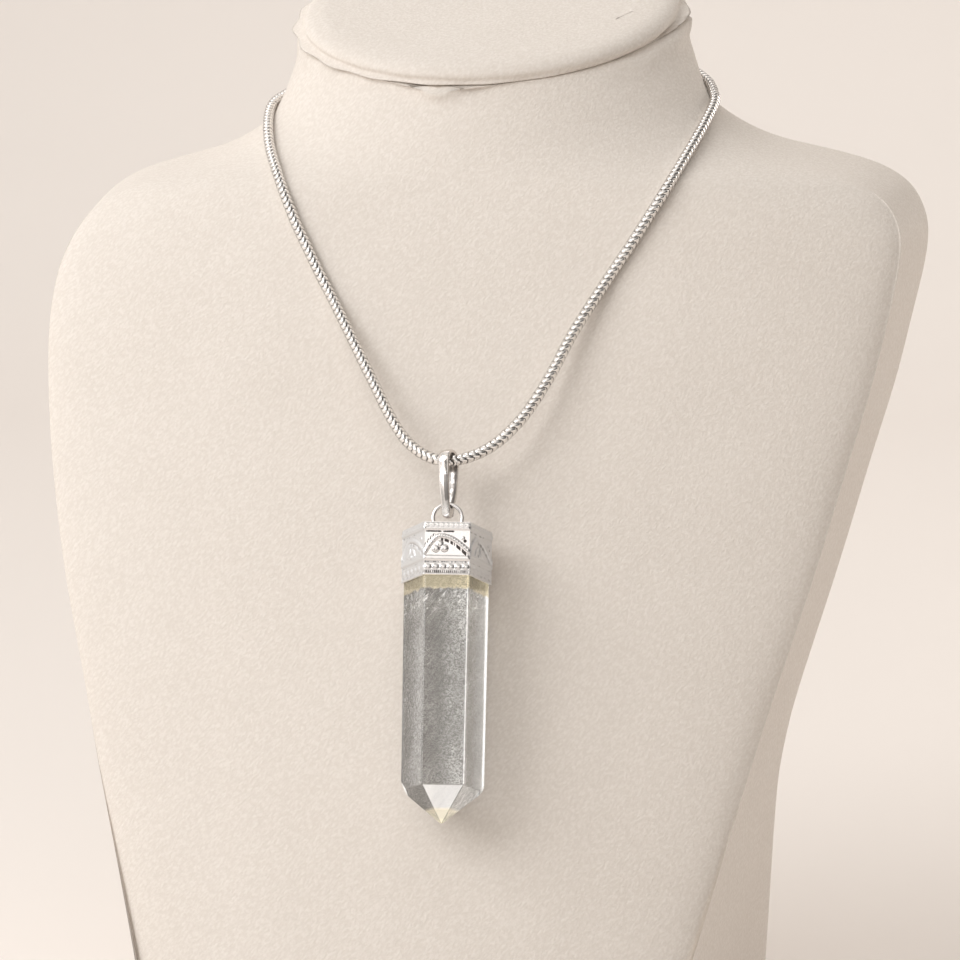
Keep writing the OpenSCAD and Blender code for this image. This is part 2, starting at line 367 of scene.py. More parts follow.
def rounded_cover(node, name, body, crease_at=None):
    """A rounded copy of a solid, whose surface still passes through the solid's own points."""
    piece = copy_of_solid(node, name)
    if crease_at is not None:
        crease_rim(piece, crease_at)
    smooth = piece.modifiers.new("round", "SUBSURF")
    smooth.levels = cover_levels
    smooth.render_levels = cover_levels
    count = len(piece.data.vertices)
    wanted = points_of(piece.data, count).copy()
    for _ in range(shrink_repairs):
        graph = bpy.context.evaluated_depsgraph_get()
        graph.update()
        missed = wanted - points_of(piece.evaluated_get(graph).data, count)
        print(f"{name}: rounding draws it in by up to {np.abs(missed).max() / MM:.2f} mm")
        piece.data.vertices.foreach_set("co", (points_of(piece.data, count) + missed).ravel())
        piece.data.update()
    bake_modifiers(piece)
    piece.data.polygons.foreach_set("use_smooth", [True] * len(piece.data.polygons))
    return finish_piece(piece, body, node, leatherette)


bust = rounded_cover("bust_body", "bust_cover", "stand", crease_at=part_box("bust_body")[0].z)
pad = rounded_cover("neck_pad", "neck_pad_cover", "stand")

# %% [markdown]
# ## The silver
# Chain, bail and cap are silver, polished where it stands out and darkened in
# the hollows. On the cap the black is the patina of cast and blackened silver;
# on the chain it is painted shade between the rings and in their grooves, and on
# the bail painted shade inside its loop and a painted dark reflection on its
# front leg. Each mesh stores how dark a point is under the name "hollow", and
# one group turns that into colour, roughness and fine scratches for all three.


# %% Build the silver
dull_silver, black_silver = (0.62, 0.645, 0.67, 1.0), (0.09, 0.08, 0.075, 1.0)
stain_scale = 900.0
scratch_height = 0.02 * MM


def build_silver_group():
    """Silver that is black where "hollow" is high, as patina on the cap and as painted shade on the chain and
    bail, and duller where "satin" is high.
    """
    group, source, result = new_group(
        "silver_with_patina_and_painted_shade",
        [("Bright", "NodeSocketColor", (0.92, 0.905, 0.90, 1.0)), ("Patina And Painted Shade", "NodeSocketFloat", 1.0),
         ("Polish", "NodeSocketFloat", 0.16), ("Scratch Scale", "NodeSocketFloat", 3000.0)],
        [("Color", "NodeSocketColor"), ("Roughness", "NodeSocketFloat"), ("Height", "NodeSocketFloat")],
    )
    place = group.nodes.new("ShaderNodeTexCoord").outputs["Object"]
    stain = noise(group, place, stain_scale, 3.0)
    wear = noise(group, place, source.outputs["Scratch Scale"], 3.0)
    satin = attribute(group, "satin")
    uneven = plus(group, attribute(group, "hollow"), range_node(group, stain, 0.3, 0.7, -0.12, 0.12))
    dark = times(group, range_node(group, uneven, 0.35, 0.85), source.outputs["Patina And Painted Shade"], clamp=True)
    color = color_mix(group, times(group, satin, 0.6), source.outputs["Bright"], dull_silver)
    color = color_mix(group, dark, color, black_silver)
    rough = plus(group, source.outputs["Polish"], range_node(group, wear, 0.35, 0.75, -0.04, 0.08))
    rough = plus(group, rough, times(group, dark, 0.3))
    rough = plus(group, rough, times(group, satin, 0.22), clamp=True)
    set_sockets(result, {"Color": color, "Roughness": rough, "Height": wear})
    return group


silver_group = build_silver_group()


def build_silver(name, bright, patina_and_painted_shade, polish, bump):
    """One silver finish, from the shared group and its own values."""
    material, tree, surface = new_material(name)
    silver = add_node(tree, "ShaderNodeGroup", {"Bright": bright, "Patina And Painted Shade": patina_and_painted_shade, "Polish": polish},
                      node_tree=silver_group)
    set_sockets(surface, {
        "Base Color": silver.outputs["Color"], "Roughness": silver.outputs["Roughness"], "Metallic": 1.0,
    })
    bump_into(tree, surface, silver.outputs["Height"], bump, scratch_height)
    return material


# On the chain and the bail the black is painted shade, with a painted dark reflection on the bail's front
# leg; on the cap it is patina
chain_silver = build_silver("snake_silver", (0.94, 0.92, 0.90, 1.0), 0.9, 0.16, 0.25)
bail_silver = build_silver("bail_silver", (0.80, 0.76, 0.73, 1.0), 0.8, 0.16, 0.2)
cap_silver = build_silver("cap_silver", (0.90, 0.88, 0.875, 1.0), 1.0, 0.2, 0.6)
print("silver finishes:", chain_silver.name, bail_silver.name, cap_silver.name)

# %% [markdown]
# ## The snake chain
# A snake chain is a row of small waved rings, pushed close together. Each
# ring has four faces round it, two pushed forward and two pushed back, and
# the next ring's faces lock into them. Two hundred and more rings could be
# copied with an Array and a Curve modifier, but Geometry Nodes place them by
# arc length and let their faces be turned along the way, as the real chain
# twists a little on the chest.

# %% Lay the chain's route
route = [
    (0.0100, 0.1135, 0.2470), (0.0210, 0.1115, 0.2460), (0.0330, 0.1075, 0.2445),
    (0.0435, 0.1020, 0.2420), (0.0517, 0.0957, 0.2395), (0.0574, 0.0882, 0.2366),
    (0.0603, 0.0815, 0.2342), (0.0612, 0.0749, 0.2317), (0.0596, 0.0634, 0.2262),
    (0.0566, 0.0518, 0.2192), (0.0535, 0.0432, 0.2127), (0.0495, 0.0392, 0.2056),
    (0.0455, 0.0359, 0.1990), (0.0410, 0.0327, 0.1920), (0.0365, 0.0285, 0.1845),
    (0.0325, 0.0240, 0.1775), (0.0285, 0.0185, 0.1690), (0.0235, 0.0130, 0.1605),
    (0.0180, 0.0083, 0.1545), (0.0125, 0.0050, 0.1513), (0.0064, 0.0034, 0.1500),
    (0.0008, 0.0046, 0.1510), (-0.0045, 0.0075, 0.1540), (-0.0090, 0.0110, 0.1590),
    (-0.0125, 0.0145, 0.1640), (-0.0163, 0.0185, 0.1695), (-0.0203, 0.0225, 0.1755),
    (-0.0240, 0.0262, 0.1810), (-0.0280, 0.0298, 0.1870), (-0.0316, 0.0328, 0.1925),
    (-0.0352, 0.0356, 0.1985), (-0.0385, 0.0384, 0.2040), (-0.0420, 0.0417, 0.2106),
    (-0.0456, 0.0478, 0.2167), (-0.0497, 0.0569, 0.2224), (-0.0526, 0.0662, 0.2279),
    (-0.0542, 0.0769, 0.2324), (-0.0523, 0.0860, 0.2352), (-0.0472, 0.0940, 0.2385),
    (-0.0390, 0.1013, 0.2420), (-0.0280, 0.1073, 0.2445), (-0.0160, 0.1115, 0.2460),
    (-0.0040, 0.1135, 0.2470),
]
# How far the rings' faces are turned away from the viewer, at shares of the
# chain's length: an edge towards the viewer on the right, a face on the left
twist_shares = (0.0, 0.48, 0.51, 1.0)
twist_degrees = (45.0, 45.0, 57.0, 57.0)
route_steps = 8
chain_rest, chain_near = 1.32 * MM, 2.35 * MM


def smooth_route(points, steps):
    """The route's smooth curve, through all its points."""
    path = []
    for i in range(len(points) - 1):
        p0, p1, p2, p3 = (Vector(points[min(max(i + k, 0), len(points) - 1)]) for k in (-1, 0, 1, 2))
        for s in range(steps):
            t = s / steps
            path.append(p1 + 0.5 * t * ((p2 - p0) + t * ((2 * p0 - 5 * p1 + 4 * p2 - p3)
                                                      + t * (3 * p1 - p0 - 3 * p2 + p3))))
    path.append(Vector(points[-1]))
    return path


cover_surface = BVHTree.FromObject(bust, bpy.context.evaluated_depsgraph_get())


def settled(point):
    """The point moved on to the leather, if the chain all but touches it there."""
    point = Vector(point)
    touch, _, _, gap = cover_surface.find_nearest(point)
    return touch + (point - touch) * (chain_rest / gap) if gap < chain_near else point


path = smooth_route([settled(p) for p in route], route_steps)
walked = np.concatenate([[0.0], np.cumsum([(b - a).length for a, b in zip(path, path[1:])])])
chain_length = float(walked[-1])
faces_to = []
for i, here in enumerate(path):
    along = (path[min(i + 1, len(path) - 1)] - path[max(i - 1, 0)]).normalized()
    side = along.cross(camera_place - here).normalized()
    out = side.cross(along)
    turn = math.radians(float(np.interp(walked[i] / chain_length, twist_shares, twist_degrees)))
    faces_to.append(math.cos(turn) * out + math.sin(turn) * side)
print("chain length in metres:", round(chain_length, 4))

# %% Make one ring of the chain
ring_angles = [math.radians(90 * q + a) for q in range(4) for a in (-34, -13, 13, 34, 45)]
ring_sides = len(ring_angles)
ring_pitch = 1.54 * MM
ring_face = 1.19 * MM
ring_wave = 0.55 * MM
ring_wave_power = 0.9
ring_squareness = 3.8
ring_groove, groove_power, groove_painted_shade = 0.13, 6, 0.62
# Rows across a ring: share of the half height, how far the row is drawn in,
# and how dark the painted shade is there, darkest at the ring's ends, where the
# next ring meets it
ring_rows = (
    (-1.0, 0.42, 1.0), (-0.76, 0.05, 0.4), (0.0, 0.0, 0.0), (0.76, 0.05, 0.4), (1.0, 0.42, 1.0),
)
ring_half = 0.53 * ring_pitch


def ring_plate():
    """One waved ring round the Z axis, with a face towards +X and its two ends closed."""
    points, hollows = [], []
    for height, drawn_in, hollow in ring_rows:
        for angle in ring_angles:
            bend = math.cos(2 * angle)
            wave = math.copysign(abs(bend) ** ring_wave_power, bend) * ring_wave
            bulk = abs(math.cos(angle)) ** ring_squareness + abs(math.sin(angle)) ** ring_squareness
            groove = (1 - abs(bend)) ** groove_power
            radius = ring_face / bulk ** (1 / ring_squareness) * (1 - ring_groove * groove) - drawn_in * MM
            points.append((radius * math.cos(angle), radius * math.sin(angle), height * ring_half + wave))
            # Painted shade: darkest at the ring's ends, where the next ring meets it, and in the grooves
            # between its faces
            hollows.append(max(hollow, groove_painted_shade * groove))
    faces = row_faces(len(ring_rows), ring_sides)
    for first, pole in ((0, len(points)), (len(points) - ring_sides, len(points) + 1)):
        faces += [(first + c, first + (c + 1) % ring_sides, pole) for c in range(ring_sides)]
    points += [(0, 0, -0.5 * ring_half), (0, 0, 0.5 * ring_half)]
    hollows += [1.0, 1.0]
    plate = new_piece("ring_plate", points, faces)
    add_values(plate, "hollow", hollows)
    return plate


plate = ring_plate()
print("faces in a ring:", len(plate.data.polygons))


# %% Place the rings along the route
def chain_tree():
    """Rings spaced evenly along a curve, each turned to its tangent and to the "facing" attribute."""
    tree = bpy.data.node_groups.new("snake_chain", "GeometryNodeTree")
    tree.interface.new_socket("Geometry", in_out="OUTPUT", socket_type="NodeSocketGeometry")
    tree.interface.new_socket("Geometry", in_out="INPUT", socket_type="NodeSocketGeometry")
    for label, kind in (("Rings", "NodeSocketInt"), ("Ring", "NodeSocketObject"),
                        ("Unevenness", "NodeSocketFloat"), ("Seed", "NodeSocketInt"),
                        ("Finish", "NodeSocketMaterial")):
        tree.interface.new_socket(label, in_out="INPUT", socket_type=kind)
    source = tree.nodes.new("NodeGroupInput")
    result = tree.nodes.new("NodeGroupOutput")
    curve = add_node(tree, "GeometryNodeMeshToCurve", {"Mesh": source.outputs["Geometry"]})
    spaced = add_node(tree, "GeometryNodeResampleCurve",
                      {"Curve": curve.outputs["Curve"], "Count": source.outputs["Rings"]}, mode="COUNT")
    along = tree.nodes.new("GeometryNodeInputTangent").outputs["Tangent"]
    facing = add_node(tree, "GeometryNodeInputNamedAttribute", {"Name": "facing"},
                      data_type="FLOAT_VECTOR").outputs["Attribute"]
    turned = add_node(tree, "FunctionNodeAxesToRotation",
                      {"Primary Axis": along, "Secondary Axis": facing}, primary_axis="Z", secondary_axis="X")
    ring = add_node(tree, "GeometryNodeObjectInfo", {"Object": source.outputs["Ring"], "As Instance": True},
                    transform_space="ORIGINAL")
    low = math_node(tree, "SUBTRACT", 1.0, source.outputs["Unevenness"])
    high = plus(tree, 1.0, source.outputs["Unevenness"])
    size = add_node(tree, "FunctionNodeRandomValue",
                    {"Min": low, "Max": high, "Seed": source.outputs["Seed"]}, data_type="FLOAT")
    placed = add_node(tree, "GeometryNodeInstanceOnPoints",
                      {"Points": spaced.outputs["Curve"], "Instance": ring.outputs["Geometry"],
                       "Rotation": turned.outputs["Rotation"]})
    tree.links.new(next(o for o in size.outputs if o.enabled), placed.inputs["Scale"])
    solid = add_node(tree, "GeometryNodeRealizeInstances", {"Geometry": placed.outputs["Instances"]})
    shown = add_node(tree, "GeometryNodeSetMaterial",
                     {"Geometry": solid.outputs["Geometry"], "Material": source.outputs["Finish"]})
    tree.links.new(shown.outputs["Geometry"], result.inputs["Geometry"])
    return tree


def set_inputs(modifier, values):
    """Sets a Geometry Nodes modifier's inputs by the identifier of each named socket."""
    for item in modifier.node_group.interface.items_tree:
        if item.in_out == "INPUT" and item.name in values:
            modifier[item.identifier] = values[item.name]


chain = new_object("snake_chain", bpy.data.meshes.new("snake_chain"))
chain.data.from_pydata([tuple(p) for p in path], [(i, i + 1) for i in range(len(path) - 1)], [])
facing_layer = chain.data.attributes.new("facing", "FLOAT_VECTOR", "POINT")
facing_layer.data.foreach_set("vector", [c for f in faces_to for c in f])
rings = chain.modifiers.new("rings", "NODES")
rings.node_group = chain_tree()
set_inputs(rings, {
    "Rings": round(chain_length / ring_pitch),
    "Ring": plate,
    "Unevenness": 0.015,
    "Seed": 7,
    "Finish": chain_silver,
})
bake_modifiers(chain)
bpy.data.objects.remove(plate)
finish_piece(chain, "stand", "chain", chain_silver)

# %% [markdown]
# ## The clasp
# Behind the neck the chain closes in a plain barrel. It is turned metal, so a
# profile spun round the line between the chain's ends is the natural way.

# %% Turn the clasp
clasp_low, clasp_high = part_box("clasp")
clasp_middle = (clasp_low + clasp_high) / 2
clasp_half = (clasp_high.x - clasp_low.x) / 2
clasp_radius = (clasp_high.z - clasp_low.z) / 2
# Profile from the middle outwards: share of the half length, share of the
# radius, and darkness
clasp_profile = (
    (0.00, 0.90, 0.6), (0.05, 0.90, 0.6), (0.08, 1.00, 0.0), (0.60, 1.00, 0.0), (0.64, 0.93, 0.8),
    (0.68, 0.93, 0.8), (0.72, 1.00, 0.0), (0.88, 1.00, 0.0), (0.97, 0.88, 0.0), (1.00, 0.70, 0.3),
)
clasp_sides = 40


def turned_clasp():
    """The closed barrel, as its profile spun round the line between the chain's ends."""
    rows = [(-s, r, h) for s, r, h in reversed(clasp_profile[1:])] + list(clasp_profile)
    points, hollows = [], []
    for share, radius, hollow in rows:
        for c in range(clasp_sides):
            angle = 2 * math.pi * c / clasp_sides
            points.append((
                clasp_middle.x + share * clasp_half,
                clasp_middle.y + radius * clasp_radius * math.cos(angle),
                clasp_middle.z + radius * clasp_radius * math.sin(angle),
            ))
            hollows.append(hollow)
    faces = row_faces(len(rows), clasp_sides)
    faces.append(tuple(range(clasp_sides)))
    faces.append(tuple(range(len(points) - clasp_sides, len(points))))
    piece = new_piece("barrel_clasp", points, faces)
    add_values(piece, "hollow", hollows)
    return piece


finish_piece(turned_clasp(), "stand", "clasp", bail_silver)

# %% [markdown]
# ## Where the pendant hangs
# Bail, cap and crystal are described along the pendant's own long axis, and
# that axis comes from the two hinges of the frame: the bail turns on the
# chain, and the cap's ring turns in the bail.

# %% Find the pendant's axis
joints = {joint["name"]: joint for joint in frame["joints"]}
hang_point = Vector(joints["bail_swing"]["pos_m"])
ring_top = Vector(joints["drop_swing"]["pos_m"])
axis_up = (hang_point - ring_top).normalized()
axis_back = axis_up.cross(-Vector(joints["drop_swing"]["axis"])).normalized()
axis_right = axis_back.cross(axis_up)
hang = Matrix.Translation(hang_point) @ Matrix((axis_right, axis_back, axis_up)).transposed().to_4x4()


def hung(x, y, z):
    """A point given in millimetres on the pendant's own axes, in the shared frame."""
    return hang @ Vector((x * MM, y * MM, z * MM))


print("the pendant's axis leans", round(math.degrees(axis_up.angle(Vector((0, 0, 1)))), 1), "degrees")

# %% [markdown]
# ## The bail
# The bail is a closed loop of flat band with a soft ridge, broad on the chain
# and narrow in the ring, where its two legs meet in a rounded tongue. A curve
# with a bevel could follow it, but its width and thickness change, so the
# section is swept by hand between an inner and an outer line.

# %% Sweep the bail
bail_turn = math.radians(-26.0)
bail_top_in, bail_top_out, bail_top_z = 2.35, 3.25, -0.5
bail_foot_in, bail_foot_z = 0.95, -10.6
tongue_out, tongue_z = 1.25, -12.95
bail_width_top, bail_width_foot = 2.7, 2.0
bail_bulge, bail_crown = 0.35, 0.5
bail_taper, tongue_taper = 0.7, 0.93
top_steps, foot_steps, leg_steps = 32, 24, 16
# How dark the painted dark reflection on the right half of the front leg is at
# heights along the bail, and how dark the painted shade on the band's inside is,
# lighter in its middle, which is a painted highlight
painted_reflection_heights, painted_reflection_darkness = (-10.8, -10.0, -4.6, -2.8), (0.0, 0.95, 0.88, 0.0)
inside_painted_shade, inside_middle_painted_shade = 0.80, 0.58
tongue_satin = 0.35
# Section: place across as a share of the half width, and height over the inner
# line as a share of the band's thickness; the tongue keeps the band's crown
bail_section = (
    (-0.86, 0.0), (-0.43, 0.0), (0.0, 0.0), (0.43, 0.0), (0.86, 0.0), (0.97, 0.10), (1.0, 0.28),
    (0.97, 0.48), (0.86, 0.68), (0.5, 0.84), (0.14, 0.97), (0.0, 1.0), (-0.14, 0.97), (-0.5, 0.84),
    (-0.86, 0.68), (-0.97, 0.48), (-1.0, 0.28), (-0.97, 0.10),
)


def loop_line(top_radius, top_z, foot_radius, foot_z):
    """A closed line of two arcs and the legs between them, as points across and up in the bail's plane."""
    tilt = math.asin((foot_radius - top_radius) / (top_z - foot_z))
    top = [(top_radius * math.cos(a), top_z + top_radius * math.sin(a))
           for a in (tilt + (math.pi - 2 * tilt) * i / top_steps for i in range(top_steps + 1))]
    foot = [(foot_radius * math.cos(a), foot_z + foot_radius * math.sin(a))
            for a in (math.pi - tilt + (math.pi + 2 * tilt) * i / foot_steps for i in range(foot_steps + 1))]

    def leg(start, end):
        """A leg between the two arcs, which swells a little outwards in its middle."""
        places = []
        for s in (i / leg_steps for i in range(1, leg_steps)):
            swell = math.copysign(bail_bulge * math.sin(math.pi * s) ** 2, start[0])
            places.append((start[0] + s * (end[0] - start[0]) + swell, start[1] + s * (end[1] - start[1])))
        return places

    return top + leg(top[-1], foot[0]) + foot + leg(foot[-1], top[0])


def swept_bail():
    """The bail's band, swept round its loop from the inner line to the outer one."""
    points, hollows, satins = [], [], []
    inner = loop_line(bail_top_in, bail_top_z, bail_foot_in, bail_foot_z)
    outer = loop_line(bail_top_out, bail_top_z, tongue_out, tongue_z)
    tongue_end = tongue_z - tongue_out
    for (in_y, in_z), (out_y, out_z) in zip(inner, outer):
        thick = math.hypot(out_y - in_y, out_z - in_z)
        for across, over in bail_section:
            depth = over if over < 0.3 else 1 - (1 - over) * bail_crown / thick
            local_y = in_y + depth * (out_y - in_y)
            local_z = in_z + depth * (out_z - in_z)
            share = min(max((local_z - bail_foot_z) / (bail_top_z - bail_foot_z), 0.0), 1.0) ** bail_taper
            half = (bail_width_foot + (bail_width_top - bail_width_foot) * share) / 2
            near_end = min(max(1 - (local_z - tongue_end) / half, 0.0), 1.0)
            local_x = across * half * math.sqrt(1 - tongue_taper * near_end ** 2)
            turned_x = local_x * math.cos(bail_turn) - local_y * math.sin(bail_turn)
            turned_y = local_x * math.sin(bail_turn) + local_y * math.cos(bail_turn)
            points.append(hung(turned_x, turned_y, local_z))
            # Painted shade inside the loop, lighter along its middle as a painted highlight, and a painted
            # dark reflection on the right half of the front leg
            inside = inside_middle_painted_shade if across == 0.0 else inside_painted_shade
            on_front = 0.1 < across < 0.9 and over > 0.6
            painted_reflection = float(np.interp(local_z, painted_reflection_heights, painted_reflection_darkness)) if on_front else 0.0
            hollows.append(inside if over == 0.0 else painted_reflection)
            satins.append(tongue_satin if local_z < painted_reflection_heights[0] else 0.0)
    piece = new_piece("ridged_bail", points, row_faces(len(inner), len(bail_section), looped=True))
    add_values(piece, "hollow", hollows)
    add_values(piece, "satin", satins)
    return piece


finish_piece(swept_bail(), "bail", "bail", bail_silver)

# %% [markdown]
# ## The cap
# The cap is cast silver: six faces with a toothed border, plain rails, a rope
# that waves from face to face, a trefoil or a pair of leaves in its arches,
# and a row of beads. Each face is a fine grid, and a few functions say how far
# the silver stands out at any point, which is how a die is cut. The same
# functions say where the hollows are, so that they can be blackened.

# %% Define the shapes of the relief
cap_corner = 10.5
cap_top_z, cap_height = -17.3, 12.7
cap_wall, cap_plate = 0.62, 1.2
face_width = cap_corner
apothem = cap_corner * math.cos(math.pi / 6)


def unit(value):
    """A value held between 0 and 1."""
    return np.clip(value, 0, 1)


def swing(phase):
    """A wave between 0 and 1, which is 1 at each whole turn of its phase."""
    return 0.5 + 0.5 * np.cos(2 * np.pi * phase)


def hump(value, middle, half_width):
    """A rounded ridge: 1 at its middle, 0 past its edges."""
    t = unit(1 - np.abs(value - middle) / half_width)
    return np.sqrt(unit(1 - (1 - t) ** 2))


def band(value, low, high, soft):
    """A flat band between two values, with soft edges."""
    return unit((value - low) / soft) * unit((high - value) / soft)


def dome(across, down, place, radius):
    """A round bead at a place."""
    gap = np.hypot(across - place[0], down - place[1]) / radius
    return np.sqrt(unit(1 - gap ** 2))


def leaf(across, down, place, length, width, angle):
    """A pointed oval, turned by an angle."""
    dx, dy = across - place[0], down - place[1]
    u = dx * math.cos(angle) + dy * math.sin(angle)
    v = -dx * math.sin(angle) + dy * math.cos(angle)
    reach = width * unit(1 - (u / length) ** 2)
    return np.where(reach > 1e-6, np.sqrt(unit(1 - (v / np.maximum(reach, 1e-6)) ** 2)), 0.0)


print(f"each face of the cap is {face_width:.1f} mm wide and {cap_height:.1f} mm high")

# %% [markdown]
# ## The relief's borders
# Depths are measured down from the cap's top. Between the rails the silver is
# cut lower and blackened, and the black lies a little inside each groove. It
# is hatched and partly worn away, which keeps it from looking printed.

# %% Draw the borders
border_at, upper_rail_at, lower_rail_at, foot_rail_at = 0.8, 1.5, 8.6, 12.5
border_height, rail_height, foot_rail_height = 0.2, 0.3, 0.16
groove_depth, comb_depth = 0.10, 0.08
upper_groove, upper_black = (2.0, 2.7), (2.05, 2.6)
lower_groove, lower_black = (9.3, 9.95), (9.35, 9.8)
comb_groove, comb_black = (11.5, 12.3), (11.55, 12.3)
tooth_gaps, bead_gaps = (0.5, 1.1), (10.2, 11.4)
teeth_a_face, comb_pitch = 9, 0.47
beads_a_face, bead_depth, bead_radius = 6, 10.75, 0.66
bead_height, bead_squash = 0.22, 0.72


def wear_along(across):
    """How strongly the black is hatched, and how much of it is left, along a face."""
    hatch = 0.5 + 0.5 * np.cos(2 * np.pi * across / 0.62 + 1.4 * np.sin(2 * np.pi * across / 2.9))
    left = 0.5 + 0.5 * np.sin(2 * np.pi * across / 3.7 + 0.8) * np.cos(2 * np.pi * across / 1.43)
    return hatch, left


def upper_border(across, down, edge_fade):
    """Height and darkness of the toothed border, the upper rail and the groove under it."""
    hatch, left = wear_along(across)
    teeth = swing(teeth_a_face * across / face_width)
    stroke = np.clip((1.9 - across) / 0.5, 0.08, 1) * np.clip(np.abs(across + 1.2) / 0.3, 0.45, 1)
    height = border_height * hump(down, border_at, 0.6) * (0.72 + 0.28 * teeth * edge_fade)
    height += rail_height * hump(down, upper_rail_at, 0.5)
    height -= groove_depth * band(down, *upper_groove, 0.15) * edge_fade
    dark = 0.75 * band(down, *tooth_gaps, 0.15) * (1 - teeth) ** 3 * edge_fade * left
    dark += band(down, *upper_black, 0.12) * edge_fade * stroke * (0.75 + 0.25 * hatch)
    return height, dark


def lower_border(across, down, edge_fade):
    """Height and darkness of the lower rail, the row of beads, the combed groove and the foot rail."""
    hatch, left = wear_along(across)
    comb = swing(across / comb_pitch)
    pitch = face_width / beads_a_face
    bead_across = (across + face_width / 2) % pitch - pitch / 2
    bead_gap = np.hypot(bead_across * bead_squash, down - bead_depth) / bead_radius
    height = rail_height * hump(down, lower_rail_at, 0.6)
    height -= groove_depth * band(down, *lower_groove, 0.15) * edge_fade
    height += bead_height * unit(1 - bead_gap ** 2)
    height -= comb_depth * band(down, *comb_groove, 0.12) * edge_fade
    height += foot_rail_height * hump(down, foot_rail_at, 0.22)
    dark = band(down, *lower_black, 0.15) * edge_fade * (0.6 + 0.4 * hatch) * (0.7 + 0.3 * left)
    dark += 0.2 * band(down, *bead_gaps, 0.1) * unit((bead_gap - 1.0) / 0.4)
    dark += band(down, *comb_black, 0.12) * edge_fade * (0.45 + 0.55 * comb) * (0.8 + 0.2 * left)
    return height, dark


print("teeth and beads on a face:", teeth_a_face, beads_a_face)

# %% [markdown]
# ## The rope, the trefoil and the leaves
# A rope waves round the cap, one crest to a face, and each arch under it
# holds a trefoil of beads or, on every second face, a pair of leaves.

# %% Draw the rope and what it frames
wave_low, wave_rise, wave_crest = 7.3, 3.9, -1.5
rope_height, rope_half, strand_pitch = 0.38, 0.56, 0.75
dash_pitch, dash_depth = 1.35, 0.12
arch = (2.9, 8.1)
trefoil_places = ((-1.7, 5.35), (-2.6, 6.45), (-0.6, 6.35))
trefoil_radius, motif_height = 0.85, 0.34
leaf_turns = (((-1.9, 6.35), -0.95), ((0.1, 6.35), 0.95 + math.pi))
leaf_height, leaf_size, leaf_rim_size = 0.30, (1.5, 0.62), (1.75, 0.85)
leaf_bead, leaf_bead_radius = (-0.9, 7.35), 0.48
dot, dot_bead, dot_radius, dot_height = (4.15, 4.6), (3.65, 3.9), 0.42, 0.2


def wave_depth(across):
    """Depth of the rope's middle line at a place across a face."""
    left = wave_crest + face_width / 2
    right = face_width / 2 - wave_crest
    span = np.where(across < wave_crest, left, right)
    return wave_low - wave_rise * np.cos(0.5 * np.pi * (across - wave_crest) / span)


def rope(across, down, edge_fade):
    """Height and darkness of the twisted rope, with black dashes below it and black strands above."""
    middle = wave_depth(across)
    slope = np.gradient(middle, axis=1) / np.maximum(np.gradient(across, axis=1), 1e-6)
    off = (down - middle) / np.sqrt(1 + slope ** 2)
    strands = swing((1.25 * across + 0.55 * off) / strand_pitch)
    dashes = unit(2.0 * np.cos(2 * np.pi * (across + 0.1) / dash_pitch) + 2.1) * edge_fade
    dashes = dashes * unit((across + 1.7) / 0.4) * np.clip(np.abs(across - 1.45) / 0.22, 0.1, 1)
    below = band(off, 0.48, 1.32, 0.12) * dashes
    above = band(off, -1.05, -0.42, 0.12)
    falling = unit((-2.6 - across) / 0.4)
    height = rope_height * hump(off, 0, rope_half) * (0.82 + 0.18 * strands) - dash_depth * below
    dark = below + above * unit(0.35 * strands * (1 - falling) + 0.9 * falling * (strands > 0.4))
    return height, dark


def leaves(across, down):
    """Height and darkness of a pair of leaves over a small bead."""
    height = motif_height * dome(across, down, leaf_bead, leaf_bead_radius)
    dark = np.zeros_like(across)
    for place, angle in leaf_turns:
        shape = leaf(across, down, place, *leaf_size, angle)
        rim = unit(2 * leaf(across, down, place, *leaf_rim_size, angle)) * (shape <= 0)
        height += leaf_height * shape
        dark += 0.55 * rim
    return height, dark


def trefoil(across, down):
    """Height and darkness of three beads, with the black that stays under their lower edges."""
    height = np.zeros_like(across)
    dark = np.zeros_like(across)
    for place in trefoil_places:
        height = np.maximum(height, motif_height * dome(across, down, place, trefoil_radius))
        rim_gap = np.hypot(across - place[0], down - place[1] - 0.1)
        near_foot = unit((down - place[1] - 0.25) / 0.3)
        dark += 0.9 * band(rim_gap, trefoil_radius - 0.12, trefoil_radius + 0.14, 0.1) * near_foot
    return height, dark


def face_relief(across, down, leafy):
    """Height of the silver over a face, and how dark the hollow is, over a grid in millimetres."""
    edge_fade = unit((face_width / 2 - np.abs(across)) / 0.35)
    height, dark = upper_border(across, down, edge_fade)
    rope_relief, rope_dark = rope(across, down, edge_fade)
    height += rope_relief
    motif, motif_dark = leaves(across, down) if leafy else trefoil(across, down)
    height = height + motif if leafy else np.maximum(height, motif)
    dark += rope_dark + motif_dark * band(down, *arch, 0.2)
    height += dot_height * dome(across, down, dot_bead, dot_radius)
    dark += 0.95 * unit(1.6 * dome(across, down, dot, dot_radius))
    lower_height, lower_dark = lower_border(across, down, edge_fade)
    height += lower_height
    dark += lower_dark
    if leafy:
        height = height * (0.75 + 0.25 * unit((np.abs(across) - face_width / 2 + 0.6) / 0.3))
        dark = 0.26 + 0.24 * dark
    return height, unit(dark)


print("the rope rises from", wave_low, "to", wave_low - wave_rise, "mm below the cap's top")


# %% [markdown]
# ## The cap's mesh
# The six faces are grids that share their corners. A solid cap also has a
# thickness, so its foot turns inwards and its inner wall rises to the plate.

# %% Cast the cap
grid_step = 0.105
corner_soft, corner_share = 0.3, 0.3
unseen_dark = 0.8


